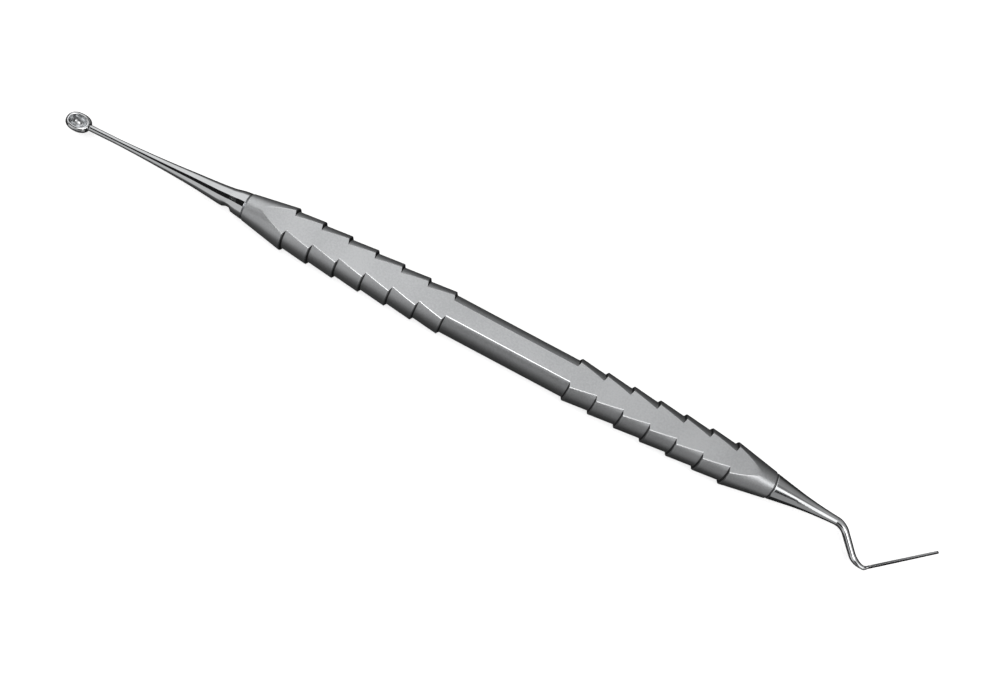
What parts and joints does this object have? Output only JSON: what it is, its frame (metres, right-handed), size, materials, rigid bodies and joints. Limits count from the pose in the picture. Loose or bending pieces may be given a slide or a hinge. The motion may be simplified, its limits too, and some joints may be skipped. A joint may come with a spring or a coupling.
{
  "type": "periotome",
  "caption": "Double-ended dental hand instrument: a flatted steel handle with saw-tooth grips, a small spoon on one end and a thin angled periotome blade on the other.",
  "frame": {"origin": "middle of the handle's lower flat, on which the instrument lies", "axes": "+X along the handle towards the blade end, +Z square to the flats, out of the spoon's opening; the shank's double bend lies in the XY plane and turns towards -Y first"},
  "size_m": [0.1684, 0.0098, 0.0064],
  "materials": {
    "satin_steel": "fine satin-blasted stainless steel",
    "polished_steel": "mirror-polished stainless steel"
  },
  "bodies": {
    "root": {"handle": "satin_steel", "spoon_end": "polished_steel", "blade_end": "polished_steel"}
  },
  "joints": []
}
